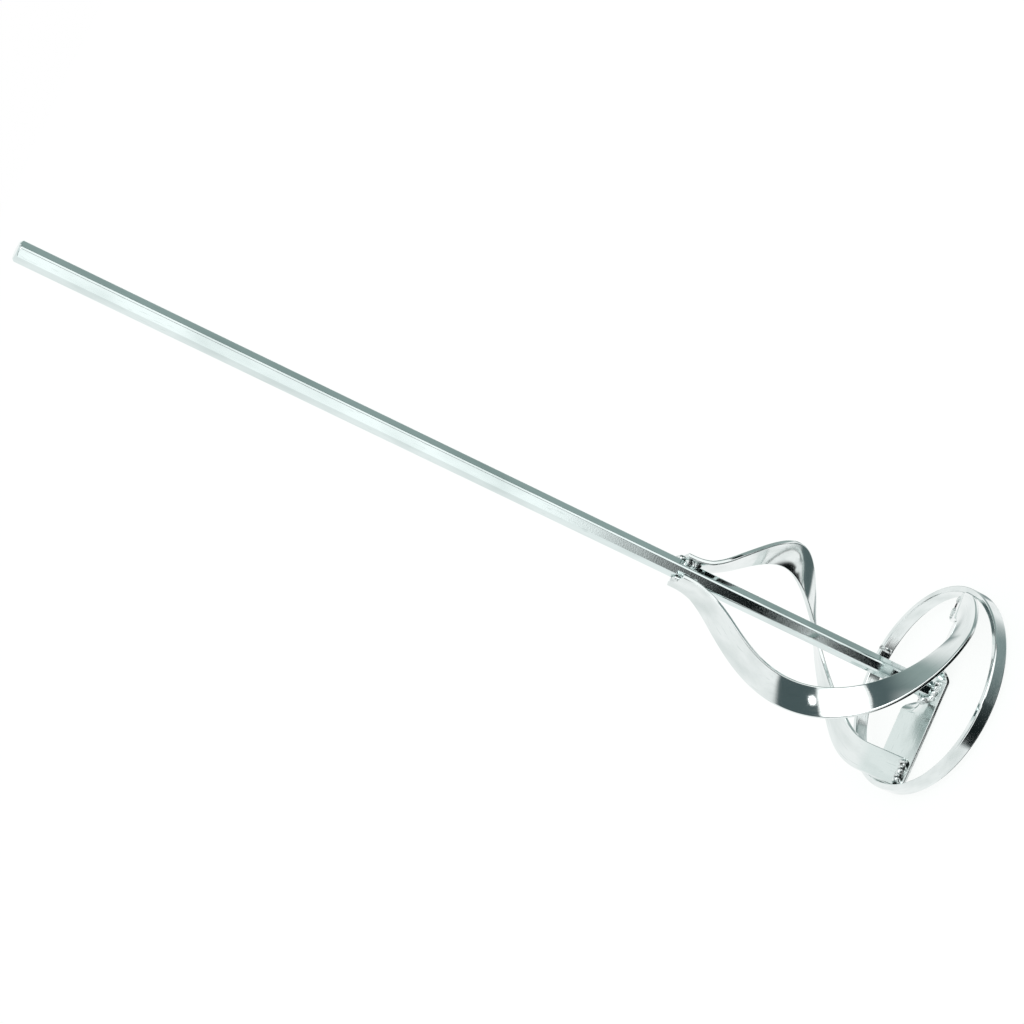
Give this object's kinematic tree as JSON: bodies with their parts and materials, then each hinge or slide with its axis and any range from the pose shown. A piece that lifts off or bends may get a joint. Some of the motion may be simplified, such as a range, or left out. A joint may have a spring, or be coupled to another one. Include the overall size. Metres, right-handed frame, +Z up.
{
  "type": "mortar mixing paddle",
  "caption": "Welded steel mixing paddle: hexagonal shaft, swept strip blades and a ring foot with a pitched crossbar.",
  "frame": {"origin": "on the shaft's line, level with the lowest edge of the crossbar", "axes": "+Z up the shaft to the drill end, Y along the crossbar, X across it"},
  "size_m": [0.1264, 0.12, 0.545],
  "materials": {
    "shaft_plate": "bright plated",
    "strip_plate": "bright plated",
    "ring_plate": "bright plated",
    "weld_plate": "plated over weld"
  },
  "bodies": {
    "root": {"hex_shaft": "shaft_plate", "crossbar": "strip_plate", "ring": "ring_plate", "blade_front": "strip_plate", "blade_back": "strip_plate", "weld_front_top_near": "weld_plate", "weld_front_top_far": "weld_plate", "weld_front_top_end": "weld_plate", "weld_back_top_near": "weld_plate", "weld_back_top_far": "weld_plate", "weld_back_top_end": "weld_plate", "weld_front_foot": "weld_plate", "weld_back_foot": "weld_plate", "weld_hub_near": "weld_plate", "weld_hub_far": "weld_plate", "weld_arm_upper": "weld_plate", "weld_arm_lower": "weld_plate", "weld_ring_seam": "weld_plate"}
  },
  "joints": []
}
